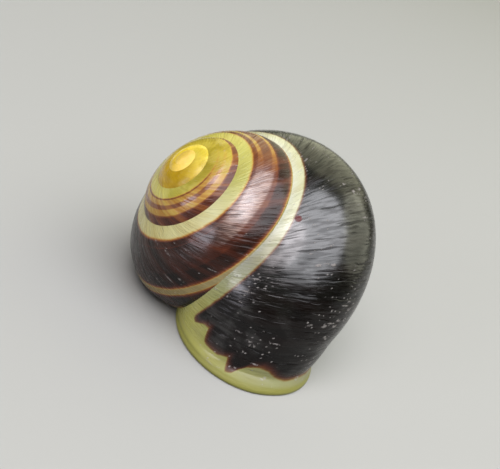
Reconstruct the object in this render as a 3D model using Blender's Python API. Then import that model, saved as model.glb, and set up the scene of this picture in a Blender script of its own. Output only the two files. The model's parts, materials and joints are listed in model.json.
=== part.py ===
"""A white-lipped banded snail, drawn into its shell and resting on the lip of its aperture.

The shell is a dextral helicospiral: an elliptical tube whose path circles the axis, falls away from
the apex and grows by the same share in each whorl.  Each whorl meets the one above at its suture.
The last part of the body whorl drops, and ends at a plane, the aperture, which is the floor here.
Shell and animal are parted by thin gaps, each named part in an object of its own.
"""
import math

import bmesh
import bpy
import numpy as np
from mathutils import Matrix, Vector

# ---- driving dimensions: millimetres, whorls and degrees --------------------------------------
WHORLS = 5.1                        # from the nucleus to the aperture
# Each size is (at the aperture, growth for each whorl, how that growth changes with the whorls).
PATH_RADIUS = (3.80, 0.361, -0.033)
PATH_FALL = (10.28, 0.534, -0.002)
HALF_WIDTH = (6.86, 0.354, -0.041)
HALF_HEIGHT = (5.61, 0.277, -0.033)
SECTION_TILT = -18.95               # the section's long half axis dips outwards by this angle
# The stretch before the aperture widens, draws in and falls.
FLARE_LENGTH = 0.45
FLARE_RADIUS = -0.46
FLARE_WIDTH = 0.315
FLARE_HEIGHT = 0.358
DROP_LENGTH = 0.204
DROP = 3.37

# How the shell lies: turn about its axis, tilt of the axis from upright, turn on the floor.
SPIN = 162.06
AXIS_TILT = 51.39
TURN = 28.14
SETTLE = 0.22                       # the underside eases on to the floor over this height
CENTRE = (2.76, 2.552)              # middle of the outline, from where the lip leaves the suture

CORE = 0.5                          # radius of the hollow that the whorls leave round the axis
COLUMELLA = 1.3                     # radius of the pillar round it, in the last whorl
WALL = 0.6                          # thickness of the shell beside the animal
GAP = 0.3                           # between neighbouring pieces
BLUNT = 0.4                         # height of the blunt edge along a suture, in gaps

RIM = 1.0                           # height where the wall of the body whorl gives way to the lip
# Places along the lip are shares of its length: 0 at the suture, 1 where it reaches the axis.
LIP_START = 0.045                   # share at which the lip's first section stands
LIP_SECTIONS = 43
LIP_FLARE = 1.3                     # how far the lip is turned out at most
LIP_WIDENS = 0.38                   # share at which it is turned out fully
LIP_NARROWS = 0.45                  # share from which it draws in again
NARROWING = 0.33                    # shares over which it does so
NARROWED = 0.45                     # what is lost of its flare by then
LIP_EDGE = 0.35                     # thickness of the lip's edge
UPRIGHT_FROM = 0.62                 # share of the lip from which it comes to stand upright
CALLUS = 0.7                        # length of the callus that closes the umbilicus
ANIMAL_DEPTH = 1.5                  # height of the mantle's edge above the floor
FOOT_SINK = 0.012                   # whorls by which the foot lies further in than the mantle
BLOCK_STEPS = 18                    # steps round the animal, from the suture to the columella
FRONT_LENGTH = 0.35                 # whorls: the stretch of the body whorl that holds the animal
FRONT = WHORLS - FRONT_LENGTH       # where that stretch begins
BACK_END = WHORLS - 0.68            # where the body whorl's back gives way to its side
ROOF_EASE = 0.15                    # whorls over which the roof of the front takes its own form

STEPS = 32                          # steps in each whorl
FIRST = WHORLS - 3                  # where the apex gives way to the third whorl
APEX_START = FIRST - 2.5            # the nucleus closes here, too small to see
FULL_GAP_SIZE = 4.0                 # half height of the smallest whorl that has the full gap

TAU = 2 * math.pi
MM = 0.001


# ---- the helicospiral -------------------------------------------------------------------------
def sized(size, whorl):
    """A size of the spiral at a whorl number."""
    start, growth, change = size
    back = whorl - WHORLS
    return start * math.exp(growth * back + change * back * back)


def ramp(whorl, length, most):
    """Grow from 0 to 1 over the last stretch of the shell, ever faster."""
    return min(max((whorl - WHORLS + length) / length, 0.0), most) ** 2


def section(whorl):
    """Path radius, path height and the two half axes of the tube's section."""
    flare = ramp(whorl, FLARE_LENGTH, 1.4)
    radius = sized(PATH_RADIUS, whorl) + FLARE_RADIUS * flare
    height = -sized(PATH_FALL, whorl) - DROP * ramp(whorl, DROP_LENGTH, 1.6)
    half_width = sized(HALF_WIDTH, whorl) + FLARE_WIDTH * flare
    half_height = sized(HALF_HEIGHT, whorl) + FLARE_HEIGHT * flare
    return radius, height, half_width, half_height


def outline(whorl, angle, inset=0.0):
    """Point (distance from the axis, height) of the section, angle 0 at its outer end."""
    radius, height, half_width, half_height = section(whorl)
    along = (half_width - inset) * math.cos(angle)
    across = (half_height - inset) * math.sin(angle)
    tilt = math.radians(SECTION_TILT)
    return (radius + math.cos(tilt) * along - math.sin(tilt) * across,
            height + math.sin(tilt) * along + math.cos(tilt) * across)


def section_angle(whorl, point, inset=0.0):
    """Angle and reach of a point in a section: reach 1 is on its outline."""
    radius, height, half_width, half_height = section(whorl)
    tilt = math.radians(SECTION_TILT)
    out, up = point[0] - radius, point[1] - height
    along = (math.cos(tilt) * out + math.sin(tilt) * up) / (half_width - inset)
    across = (math.cos(tilt) * up - math.sin(tilt) * out) / (half_height - inset)
    return math.atan2(across, along), math.hypot(along, across)


def bisect(test, low, high):
    """Value between low and high where the test turns from false to true."""
    for _ in range(40):
        middle = (low + high) / 2
        if test(middle):
            high = middle
        else:
            low = middle
    return (low + high) / 2


def suture_angle(whorl, inset=0.0, clear=0.0):
    """Angle at which the section runs into the whorl above."""
    def buried(angle):
        return section_angle(whorl - 1, outline(whorl, angle, inset), -clear)[1] < 1

    angles = np.radians(np.arange(50.0, 270.0, 3.0))
    seen_free = False
    for low, high in zip(angles, angles[1:]):
        seen_free = seen_free or not buried(low)
        if seen_free and buried(high):
            return bisect(buried, low, high)
    return math.pi


def lower_angle(whorl):
    """Angle on a section at which the next whorl's suture runs; free of it on the last whorl."""
    covered = min(whorl, WHORLS - 1)
    return section_angle(covered, outline(covered + 1, suture_angle(covered + 1)))[0]


def core_angle(whorl, inset=0.0, radius=CORE):
    """Angle on the underside of a section at which it comes in to the core."""
    low, high = math.radians(60), math.radians(175)
    return -bisect(lambda angle: outline(whorl, -angle, inset)[0] < radius, low, high)


def scaled_gap(whorl):
    """The gap at a suture: narrower on the small whorls of the spire."""
    return GAP * min(sized(HALF_HEIGHT, whorl) / FULL_GAP_SIZE, 1.0)


def smooth(value):
    """Ease from 0 to 1."""
    value = min(max(value, 0.0), 1.0)
    return value * value * (3 - 2 * value)


def spread(first, last, count):
    """Evenly spaced values, both ends in."""
    return [first + (last - first) * step / (count - 1) for step in range(count)]


# ---- from the shell's own frame to the floor --------------------------------------------------
LIE = (Matrix.Rotation(math.radians(TURN), 3, "Z") @ Matrix.Rotation(-math.radians(AXIS_TILT), 3, "Y")
       @ Matrix.Rotation(-math.radians(SPIN), 3, "Z"))


def in_shell(whorl, point):
    """A section's point in the shell's frame: axis +Z towards the apex, whorls running clockwise."""
    azimuth = -TAU * (whorl - WHORLS)
    return Vector((point[0] * math.cos(azimuth), point[0] * math.sin(azimuth), point[1]))


INSERTION = in_shell(WHORLS, outline(WHORLS, suture_angle(WHORLS)))


def placed(whorl, point):
    """A section's point where the shell lies, with the aperture's plane as the floor."""
    spot = LIE @ (in_shell(whorl, point) - INSERTION)
    if spot.z < SETTLE:
        above = max(spot.z + SETTLE, 0.0)
        spot.z = above * above / (4 * SETTLE)
    return spot - Vector((CENTRE[0], CENTRE[1], 0.0))


def whorl_at_height(path, height, most=WHORLS + 0.1):
    """Whorl number at which a line along the shell comes down to a height above the floor."""
    return bisect(lambda whorl: placed(whorl, path(whorl)).z < height, WHORLS - 0.3, most)


# ---- the lines that bound a whorl -------------------------------------------------------------
def natural_base(whorl, count):
    """The underside of a section, from its lower suture in to the core."""
    return [outline(whorl, angle) for angle in spread(lower_angle(whorl), core_angle(whorl), count)]


def roof(whorl, count):
    """Where a whorl meets the one above: level while both are solid, then that whorl's own underside."""
    start = outline(whorl, suture_angle(whorl))
    level = [(radius, start[1]) for radius in spread(start[0], CORE, count)]
    bulge = smooth((whorl - FRONT + ROOF_EASE) / ROOF_EASE)
    if bulge == 0:
        return level
    under = natural_base(whorl - 1, count)
    return [(flat[0] + (low[0] - flat[0]) * bulge, flat[1] + (low[1] - flat[1]) * bulge)
            for flat, low in zip(level, under)]


def lifted(points, rise):
    """The same points, higher."""
    return [(point[0], point[1] + rise) for point in points]


def trimmed_angle(whorl, start, height):
    """Angle, below the start, at which the outer wall is down to a height."""
    lowest = math.radians(67)
    return -bisect(lambda angle: outline(whorl, -angle)[1] < height, -start, lowest)


def outer_line(whorl, arc_count, base_count):
    """The outer wall from the upper suture down, then the underside in to the core."""
    top = suture_angle(whorl)
    first = suture_angle(whorl, 0, scaled_gap(whorl) * (0.5 + BLUNT))
    if whorl > WHORLS - 1:
        last = lower_angle(whorl)
        base = natural_base(whorl, base_count + 1)[1:]
    else:
        base = lifted(roof(whorl + 1, base_count), scaled_gap(whorl + 1) / 2)
        last = trimmed_angle(whorl, top, base[0][1])
        base = base[1:]
    arc = [outline(whorl, angle) for angle in spread(first, last, arc_count)]
    return arc + base


def whorl_loop(whorl, arc_count, base_count):
    """Closed section of a solid whorl: out along the wall and base, back along the roof."""
    outer = outer_line(whorl, arc_count, base_count)
    half_gap = scaled_gap(whorl) / 2
    inner = lifted(roof(whorl, len(outer)), -half_gap)
    inner[0] = outline(whorl, suture_angle(whorl, 0, half_gap))
    return [placed(whorl, point) for point in outer + inner[::-1]]


# ---- mesh helpers -----------------------------------------------------------------------------
def material(name, colour, roughness):
    """A plain Principled material."""
    made = bpy.data.materials.new(name)
    made.use_nodes = True
    shader = made.node_tree.nodes["Principled BSDF"]
    shader.inputs["Base Color"].default_value = (*colour, 1.0)
    shader.inputs["Roughness"].default_value = roughness
    shader.inputs["Metallic"].default_value = 0.0
    made.diffuse_color = (*colour, 1.0)
    return made


def add_object(name, points, faces, finish):
    """One closed body, in metres, with its faces pointing out and its round surfaces smooth."""
    mesh = bpy.data.meshes.new(name)
    mesh.from_pydata([Vector(point) * MM for point in points], [], faces)
    body = bmesh.new()
    body.from_mesh(mesh)
    bmesh.ops.recalc_face_normals(body, faces=body.faces)
    if body.calc_volume(signed=True) < 0:
        bmesh.ops.reverse_faces(body, faces=body.faces)
    body.to_mesh(mesh)
    body.free()
    mesh.shade_smooth()
    mesh.set_sharp_from_angle(angle=math.radians(40))
    mesh.materials.append(finish)
    made = bpy.data.objects.new(name, mesh)
    PARTS.objects.link(made)
    return made


def loft(name, loops, finish):
    """Join closed loops of equal count; a loop runs out along one side and back along the other."""
    count = len(loops[0])
    points = [point for loop in loops for point in loop]
    faces = []
    for row in range(len(loops) - 1):
        for column in range(count):
            after = (column + 1) % count
            faces.append((row * count + column, row * count + after,
                          (row + 1) * count + after, (row + 1) * count + column))
    for start in (0, (len(loops) - 1) * count):
        for column in range(count // 2 - 1):
            across = count - 1 - column
            faces.append((start + column, start + column + 1, start + across - 1, start + across))
    return add_object(name, points, faces, finish)


# ---- the shell --------------------------------------------------------------------------------
def make_apex(finish):
    """The nucleus and the first whorl: a spiral strip closed at its start, over one turn of stair."""
    arc_count = 8
    rows = round((FIRST - APEX_START) * STEPS) + 1
    last_turn = rows - 1 - STEPS
    whorls = spread(APEX_START, FIRST, rows)
    stairs = [outline(whorl + 1, suture_angle(whorl + 1))[1] + scaled_gap(whorl + 1) / 2
              for whorl in whorls]
    points, grid = [], []
    for row, whorl in enumerate(whorls):
        top, low = suture_angle(whorl), lower_angle(whorl)
        if row >= last_turn:
            low = trimmed_angle(whorl, top, stairs[row])
        line = []
        for column, angle in enumerate(spread(top, low, arc_count)):
            if column == 0 and row >= STEPS:
                line.append(grid[row - STEPS][-1])
            else:
                points.append(placed(whorl, outline(whorl, angle)))
                line.append(len(points) - 1)
        grid.append(line)
    faces = []
    for before, after in zip(grid, grid[1:]):
        for column in range(arc_count - 1):
            faces.append((before[column], before[column + 1], after[column + 1], after[column]))
    # The nucleus is a fan over the small loop that the first turn leaves open.
    opening = [line[0] for line in grid[:STEPS + 1]] + grid[0][-2:0:-1]
    points.append(sum((points[index] for index in opening), Vector()) / len(opening))
    fans = [(len(points) - 1, opening)]
    # Underneath, one turn of stair runs in to the core, and a fan closes the core.
    core = []
    for row in range(last_turn, rows):
        points.append(placed(whorls[row], (CORE, stairs[row])))
        core.append(len(points) - 1)
    for step in range(STEPS):
        edge, after = grid[last_turn + step][-1], grid[last_turn + step + 1][-1]
        faces.append((edge, after, core[step + 1], core[step]))
    points.append(placed(FIRST, (0, stairs[last_turn])))
    fans.append((len(points) - 1, core))
    for centre, rim in fans:
        for index, start in enumerate(rim):
            faces.append((centre, start, rim[(index + 1) % len(rim)]))
    faces.append(tuple(grid[-1] + [core[-1], core[0]]))
    return add_object("shell_apex", points, faces, finish)


def make_whorl(name, start, end, arc_count, base_count, finish):
    """A solid length of the spire or of the body whorl, with half a gap at each end."""
    ease = scaled_gap(end) / 2 / (TAU * outline((start + end) / 2, 0)[0])
    steps = round((end - start) * STEPS) + 1
    loops = [whorl_loop(whorl, arc_count, base_count)
             for whorl in spread(start + ease, end - ease, steps)]
    return loft(name, loops, finish)


def wall_angle(whorl, share):
    """Angle of a line along the outer wall: share 0 at the suture, 1 at the core."""
    first = suture_angle(whorl, 0, GAP * (0.5 + BLUNT))
    return first + (core_angle(whorl) - first) * share


def wall_line(share):
    """The outer face of the body whorl's front, along the shell."""
    return lambda whorl: outline(whorl, wall_angle(whorl, share))


def lining_line(share, inset, clear, radius):
    """A line along the hollow, inside the wall: share 0 by the suture, 1 by the columella."""
    def line(whorl):
        first = suture_angle(whorl, inset, clear)
        last = core_angle(whorl, inset, radius)
        return outline(whorl, first + (last - first) * share, inset)
    return line


def ceiling_line(share, inset, clear, radius):
    """A line along the whorl above, over the hollow: share 0 by the suture, 1 by the columella."""
    def line(whorl):
        corner = outline(whorl, suture_angle(whorl, inset, clear), inset)
        first = section_angle(whorl - 1, corner, -clear)[0]
        last = core_angle(whorl - 1, -clear, radius)
        return outline(whorl - 1, first + (last - first) * share, -clear)
    return line


def pillar_line(base, radius, share):
    """A line up the columella: share 0 at the base, 1 under the whorl above."""
    def line(whorl):
        low = base(whorl)[1]
        high = outline(whorl - 1, core_angle(whorl - 1, 0, radius))[1] - GAP
        return radius, low + (high - low) * share
    return line


def make_front_wall(finish):
    """The last stretch of the body whorl, hollow, with the columella; it stops above the lip."""
    columns, pillar, rows = 22, 3, 11
    sides = []
    for radius in (CORE, COLUMELLA):
        inside = radius == COLUMELLA
        lines = [lining_line(share, WALL, GAP, radius) if inside else wall_line(share)
                 for share in spread(0, 1, columns)]
        ends = [whorl_at_height(line, RIM) for line in lines]
        for share in spread(0, 1, pillar + 1)[1:]:
            lines.append(pillar_line(lines[columns - 1], radius, share))
            ends.append(ends[columns - 1])
        sides.append(list(zip(lines, ends)))
    outside, lining = sides
    start = FRONT + GAP / 2 / (TAU * outline(FRONT, 0)[0])
    loops = []
    for step in spread(0, 1, rows):
        loop = []
        for line, end in outside + lining[::-1]:
            whorl = start + (end - start) * step
            loop.append(placed(whorl, line(whorl)))
        loops.append(loop)
    return loft("shell_body_whorl_front", loops, finish)


def lip_flare(share):
    """How far the lip is turned out: most at the front, less at the base, none past the callus."""
    widened = smooth(share / LIP_WIDENS)
    narrowed = 1 - NARROWED * smooth((share - LIP_NARROWS) / NARROWING)
    past = min(max(share - 1, 0) / (CALLUS * 1.06), 1)
    return LIP_FLARE * widened * narrowed * math.sqrt(1 - past * past)


def lip_profile(lean, flare):
    """The lip's section as (outward, up): down its outer face, under it and up inside."""
    top = RIM - GAP
    return [(lean, top), (lean * 0.4 + flare * 0.45, top / 2 + LIP_EDGE * 0.6),
            (flare * 0.82, LIP_EDGE * 1.1), (flare + 0.02, LIP_EDGE / 2), (flare - 0.08, 0),
            (-WALL * 0.6, 0), (-WALL - 0.05, LIP_EDGE), (lean - WALL, top)]


def lip_loops():
    """Sections of the lip along the aperture's edge, from the suture to past the umbilicus."""
    shares = spread(LIP_START, 1, LIP_SECTIONS)
    feet, heads = [], []
    for share in shares:
        line = wall_line(share)
        foot, head = whorl_at_height(line, SETTLE / 4), whorl_at_height(line, RIM - GAP)
        top = placed(head, line(head)).to_2d()
        upright = smooth((share - UPRIGHT_FROM) / (1 - UPRIGHT_FROM))
        heads.append(top)
        feet.append(placed(foot, line(foot)).to_2d().lerp(top, upright))
    travel = (heads[-1] - heads[-3]).normalized()
    for step in spread(0, CALLUS, 5)[1:]:
        feet.append(feet[len(shares) - 1] + travel * step)
        heads.append(heads[len(shares) - 1] + travel * step)
        shares = shares + [1 + step]
    loops = []
    for index, (foot, head) in enumerate(zip(feet, heads)):
        ahead = feet[min(index + 1, len(feet) - 1)] - feet[max(index - 1, 0)]
        outward = Vector((ahead.y, -ahead.x)).normalized()
        profile = lip_profile((head - foot).dot(outward), lip_flare(shares[index]))
        loops.append([Vector((*(foot + outward * out), up)) for out, up in profile])
    return loops


def make_lips(finish):
    """The turned-out lip in three lengths: outer, basal and columellar."""
    loops = lip_loops()
    for name, first, last in (("shell_lip_outer", 0, 17), ("shell_lip_basal", 18, 32),
                              ("shell_lip_columellar", 33, 46)):
        loft(name, loops[first:last + 1], finish)


# ---- the animal -------------------------------------------------------------------------------
def animal_point(share, depth, length, sink):
    """Point of the animal: share along the wall, depth in from it, length from behind to the front."""
    inset = WALL + GAP
    near = lining_line(share, inset, 2 * GAP, COLUMELLA + GAP)
    far = ceiling_line(share, inset, 2 * GAP, COLUMELLA + GAP)
    near_front = whorl_at_height(near, ANIMAL_DEPTH)
    far_front = whorl_at_height(far, ANIMAL_DEPTH, WHORLS - 0.03)
    front = near_front + (far_front - near_front) * depth - sink
    start = FRONT + GAP / (TAU * outline(FRONT, 0)[0])
    whorl = start + (front - start) * length
    low, high = near(whorl), far(whorl)
    return placed(whorl, (low[0] + (high[0] - low[0]) * depth, low[1] + (high[1] - low[1]) * depth))


def make_block(name, shares, depths, sink, finish):
    """A length of the animal between two shares and two depths, as one closed block."""
    count = max(round((shares[1] - shares[0]) * BLOCK_STEPS), 2)
    loops = []
    for length, ease in ((0, 0), (0.25, 0), (0.5, 0), (0.75, 0), (0.92, 0), (0.98, 0.06), (1, 0.2)):
        # Towards the front the block draws in, so that its edges are round.
        sides = [middle + (end - middle) * (1 - ease)
                 for middle, end in ((sum(shares) / 2, shares[0]), (sum(shares) / 2, shares[1]),
                                     (sum(depths) / 2, depths[0]), (sum(depths) / 2, depths[1]))]
        near, far = [[animal_point(share, depth, length, sink) for share in spread(*sides[:2], count)]
                     for depth in sides[2:]]
        loops.append(near + far[::-1])
    return loft(name, loops, finish)


def make_animal(skin):
    """What fills the aperture: the mantle's collar, its breathing pore and the folded foot."""
    make_block("mantle_pore", (0.07, 0.17), (0.0, 0.30), 0.0, skin)
    make_block("mantle_collar", (0.19, 0.97), (0.0, 0.22), 0.0, skin)
    make_block("foot_sole_front", (0.19, 0.42), (0.27, 0.97), FOOT_SINK, skin)
    make_block("foot_sole_middle", (0.45, 0.67), (0.27, 0.97), FOOT_SINK, skin)
    make_block("foot_tail", (0.71, 0.97), (0.27, 0.97), FOOT_SINK, skin)


# ---- the whole --------------------------------------------------------------------------------
for old in list(bpy.data.objects):
    bpy.data.objects.remove(old, do_unlink=True)
PARTS = bpy.data.collections.new("banded_snail")
bpy.context.scene.collection.children.link(PARTS)

BANDS = material("shell_bands", (0.22, 0.12, 0.05), 0.3)
LIP = material("shell_lip", (0.62, 0.63, 0.36), 0.4)
SKIN = material("animal_skin", (0.30, 0.26, 0.20), 0.5)

make_apex(BANDS)
make_whorl("shell_third_whorl", FIRST, FIRST + 1, 9, 4, BANDS)
make_whorl("shell_penultimate_whorl", FIRST + 1, FIRST + 2, 13, 6, BANDS)
make_whorl("shell_body_whorl_back", WHORLS - 1, BACK_END, 15, 9, BANDS)
make_whorl("shell_body_whorl_side", BACK_END, FRONT, 15, 9, BANDS)
make_front_wall(BANDS)
make_lips(LIP)
make_animal(SKIN)
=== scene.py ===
# %% [markdown]
# # A white-lipped banded snail, drawn into its shell
#
# A snail's shell is one tube that coils round an axis and grows by the same share in each turn.
# Here it lies on its aperture, as a snail rests on a surface, with the animal inside.
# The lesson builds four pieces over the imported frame: the shell's wall, the turned-out lip, the
# lining inside, and the animal's soft body.  Each one follows the same few sizes that the solid part
# was made from.

# %% Load the frame
import json
import math

import bpy
import numpy as np
from mathutils import Matrix, Vector


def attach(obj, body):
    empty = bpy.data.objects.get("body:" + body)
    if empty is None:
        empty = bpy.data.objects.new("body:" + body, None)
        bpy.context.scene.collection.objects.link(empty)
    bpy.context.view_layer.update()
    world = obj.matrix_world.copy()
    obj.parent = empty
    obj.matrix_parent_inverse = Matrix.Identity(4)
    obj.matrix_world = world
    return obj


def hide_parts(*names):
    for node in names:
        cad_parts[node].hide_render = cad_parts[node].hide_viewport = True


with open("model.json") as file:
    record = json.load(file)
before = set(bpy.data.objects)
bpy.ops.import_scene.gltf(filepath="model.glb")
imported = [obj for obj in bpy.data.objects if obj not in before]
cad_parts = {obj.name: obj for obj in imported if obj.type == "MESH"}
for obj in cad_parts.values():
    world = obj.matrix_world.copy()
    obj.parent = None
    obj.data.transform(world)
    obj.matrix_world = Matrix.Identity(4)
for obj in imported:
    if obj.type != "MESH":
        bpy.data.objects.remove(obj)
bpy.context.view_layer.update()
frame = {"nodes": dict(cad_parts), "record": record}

SLOTS = [made["slot"] for made in frame["record"]["materials"]]
MM = 0.001
TAU = 2 * math.pi
print("frame", sorted(frame["nodes"]), "slots", SLOTS)

# %% [markdown]
# ## The sizes of the spiral
#
# A shell could be modelled by hand with a curve and a bevel, but a bevelled curve can't grow, tilt
# its section and drop before the mouth at the same time.  A few formulas can.  Each size is given
# at the mouth, with its growth for each whorl and how that growth changes.  The same numbers are in
# the solid part, so that the pieces here follow it.  They leave it where the nucleus is levelled,
# where the wall turns out above the lip, and in the mouth, where the skin and the lining run on.

# %% Sizes of the spiral, in millimetres, whorls and degrees
WHORLS = 5.1
PATH_RADIUS = (3.80, 0.361, -0.033)
PATH_FALL = (10.28, 0.534, -0.002)
HALF_WIDTH = (6.86, 0.354, -0.041)
HALF_HEIGHT = (5.61, 0.277, -0.033)
SECTION_TILT = math.radians(-18.95)
FLARE_LENGTH, FLARE_RADIUS, FLARE_WIDTH, FLARE_HEIGHT = 0.45, -0.46, 0.315, 0.358
DROP_LENGTH, DROP = 0.204, 3.37
FLARE_MOST, DROP_MOST = 1.4, 1.6    # where these stop past the mouth, in their own lengths
SPIN, AXIS_TILT, TURN = (math.radians(angle) for angle in (162.06, 51.39, 28.14))
SETTLE = 0.22
CENTRE = (2.76, 2.552)
CORE, COLUMELLA, WALL, GAP = 0.5, 1.3, 0.6, 0.3
RIM, LIP_FLARE, LIP_EDGE, CALLUS = 1.0, 1.3, 0.35, 0.7
LIP_WIDENS = 0.38                   # share of the lip over which it comes to its full flare
LIP_NARROWS, NARROWED, NARROWING = 0.45, 0.45, 0.33
START, BIRTH = 0.05, 0.45           # where the tube begins, and the length of its rounded tip
SKIN = 0.04                         # the spiral's section is taken in by this, against the solids


def sized(size, whorl):
    """A size of the spiral at a whorl number."""
    start, growth, change = size
    back = whorl - WHORLS
    return start * np.exp(growth * back + change * back * back)


def ramp(whorl, length, most):
    """Grow from 0 to 1 over the last stretch of the shell, ever faster."""
    return np.clip((whorl - WHORLS + length) / length, 0, most) ** 2


def section(whorl, inset=SKIN):
    """Path radius, path height and the two half axes of the tube's section."""
    flare = ramp(whorl, FLARE_LENGTH, FLARE_MOST)
    birth = np.sqrt(1 - np.clip((START - whorl) / BIRTH, 0, 0.999) ** 2)
    radius = sized(PATH_RADIUS, whorl) + FLARE_RADIUS * flare
    height = -sized(PATH_FALL, whorl) - DROP * ramp(whorl, DROP_LENGTH, DROP_MOST)
    half_width = (sized(HALF_WIDTH, whorl) + FLARE_WIDTH * flare) * birth - inset
    half_height = (sized(HALF_HEIGHT, whorl) + FLARE_HEIGHT * flare) * birth - inset
    return radius, height, np.maximum(half_width, 1e-3), np.maximum(half_height, 1e-3)


def outline(whorl, angle, inset=SKIN):
    """Distance from the axis and height of a point of the section, angle 0 at its outer end."""
    radius, height, half_width, half_height = section(whorl, inset)
    along, across = half_width * np.cos(angle), half_height * np.sin(angle)
    return (radius + math.cos(SECTION_TILT) * along - math.sin(SECTION_TILT) * across,
            height + math.sin(SECTION_TILT) * along + math.cos(SECTION_TILT) * across)


def section_angle(whorl, point, inset=SKIN):
    """Angle and reach of a point in a section: reach 1 is on its outline."""
    radius, height, half_width, half_height = section(whorl, inset)
    out, up = point[0] - radius, point[1] - height
    along = (math.cos(SECTION_TILT) * out + math.sin(SECTION_TILT) * up) / half_width
    across = (math.cos(SECTION_TILT) * up - math.sin(SECTION_TILT) * out) / half_height
    return np.arctan2(across, along), np.hypot(along, across)


print("section at the mouth in mm", [round(float(size), 2) for size in section(WHORLS)])

# %% [markdown]
# ## The suture
#
# Each whorl is laid against the one above, and the line where they meet is the suture.  It isn't
# drawn: it is found, as the angle at which a section runs into the section one turn earlier.  It is
# worked out once for a fine row of whorl numbers, and read from that table afterwards.

# %% Where whorls meet
TABLE = np.arange(START - BIRTH - 0.05, WHORLS + 0.5, 0.004)


def meeting(whorl, inset=SKIN, above=SKIN):
    """Angle at which a section of each whorl number is buried in the whorl above."""
    scan = np.radians(np.arange(50.0, 200.0, 1.0))
    grid = np.meshgrid(whorl, scan, indexing="ij")
    free = section_angle(grid[0] - 1, outline(*grid, inset), above)[1] - 1
    buried = (free < 0) & (np.cumsum(free >= 0, axis=1) > 0)
    first = np.clip(np.argmax(buried, axis=1), 1, None)
    row = np.arange(len(whorl))
    before, after = free[row, first - 1], free[row, first]
    angle = scan[first - 1] + before / (before - after) * (scan[1] - scan[0])
    return np.where(buried.any(axis=1), angle, scan[-1])


def crossing(passed, shape, low, high, halvings=30):
    """Where a test starts to be true, by halving the stretch between low and high."""
    low, high = np.full(shape, low), np.full(shape, high)
    for _ in range(halvings):
        middle = (low + high) / 2
        true_there = passed(middle)
        high, low = np.where(true_there, middle, high), np.where(true_there, low, middle)
    return (low + high) / 2


def coming_in(whorl, radius, inset=SKIN, side=-1):
    """Angle, under the section or over it, at which it comes in to a distance from the axis."""
    return side * crossing(lambda angle: outline(whorl, side * angle, inset)[0] < radius,
                           whorl.shape, math.radians(60), math.radians(175))


SUTURE = np.minimum(meeting(TABLE), coming_in(TABLE, 0.005, SKIN, 1))
COVERED = np.minimum(TABLE, WHORLS - 1)
LOWER = section_angle(COVERED, outline(COVERED + 1, np.interp(COVERED + 1, TABLE, SUTURE)))[0]
NEAR_AXIS = coming_in(TABLE, CORE)
TUCK = 0.05                         # how far a whorl's upper edge reaches in under the one above
TUCK_FROM = 0.7                     # the whorl number at which that starts


def angle_across(whorl, across):
    """Angle on a section: across runs 0 at the suture, 1 at the next suture, 2 at the axis."""
    top = np.interp(whorl, TABLE, SUTURE) + TUCK / section(whorl)[3] * (whorl > TUCK_FROM)
    low = np.interp(whorl, TABLE, LOWER)
    near = np.interp(whorl, TABLE, NEAR_AXIS)
    return np.where(across < 1, top + (low - top) * across, low + (near - low) * (across - 1))


print("suture at whorl 2, 3, 4 and 5, degrees",
      np.degrees(np.interp([2, 3, 4, 5], TABLE, SUTURE)).round(1))

# %% [markdown]
# ## How the shell lies
#
# The shell is worked out round its own upright axis, then tipped until the plane of its mouth is the
# floor.  Where the underside would dip through the floor it eases on to it, because a shell can't
# stand on one point of a round wall.

# %% From the shell's own frame to the floor
def turned(axis, angle):
    """A 3 by 3 rotation about Y or Z."""
    cosine, sine = math.cos(angle), math.sin(angle)
    if axis == "Z":
        return np.array([[cosine, -sine, 0], [sine, cosine, 0], [0, 0, 1]])
    return np.array([[cosine, 0, sine], [0, 1, 0], [-sine, 0, cosine]])


LIE = turned("Z", TURN) @ turned("Y", -AXIS_TILT) @ turned("Z", -SPIN)


def in_shell(whorl, point):
    """A section's point in the shell's frame: axis +Z to the apex, whorls running clockwise."""
    azimuth = -TAU * (whorl - WHORLS)
    return np.stack(np.broadcast_arrays(point[0] * np.cos(azimuth), point[0] * np.sin(azimuth),
                                        point[1]), axis=-1)


MOUTH = np.array([WHORLS])
INSERTION = in_shell(MOUTH, outline(MOUTH, meeting(MOUTH, 0, 0), 0))[0]


def placed(whorl, point):
    """A section's point where the shell lies, in millimetres, with the mouth's plane as floor."""
    spot = (in_shell(whorl, point) - INSERTION) @ LIE.T
    low = np.clip(spot[..., 2] + SETTLE, 0, 2 * SETTLE)
    spot[..., 2] = np.where(spot[..., 2] > SETTLE, spot[..., 2], low * low / (4 * SETTLE))
    return spot - np.array([*CENTRE, 0])


def down_to(line, height, low=WHORLS - 0.45, high=WHORLS + 0.12):
    """Whorl numbers at which lines along the shell come down to a height above the floor."""
    return crossing(lambda whorl: placed(whorl, line(whorl))[..., 2] < height,
                    line(np.array([low]))[0].shape, low, high)


def eased(value):
    """Ease from 0 to 1."""
    value = np.clip(value, 0, 1)
    return value * value * (3 - 2 * value)


def unit(vectors):
    """Vectors of length 1."""
    return vectors / np.maximum(np.linalg.norm(vectors, axis=-1, keepdims=True), 1e-12)


print("the suture meets the lip at", placed(MOUTH, outline(MOUTH, meeting(MOUTH, 0, 0), 0)).round(2))

# %% [markdown]
# ## The bands
#
# This snail has five bands, counted from the suture.  On the spire they stand apart, with amber
# lines between them.  On the last whorl they run together into one dark field.  A band keeps its
# place on the tube, so its edges are given as angles on the section, at a few whorl numbers counted
# back from the mouth.  From these each vertex gets a band number, which is what the colours follow:
# 0 at the suture, then one more at each band's two edges, and 11 at the axis.

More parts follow.
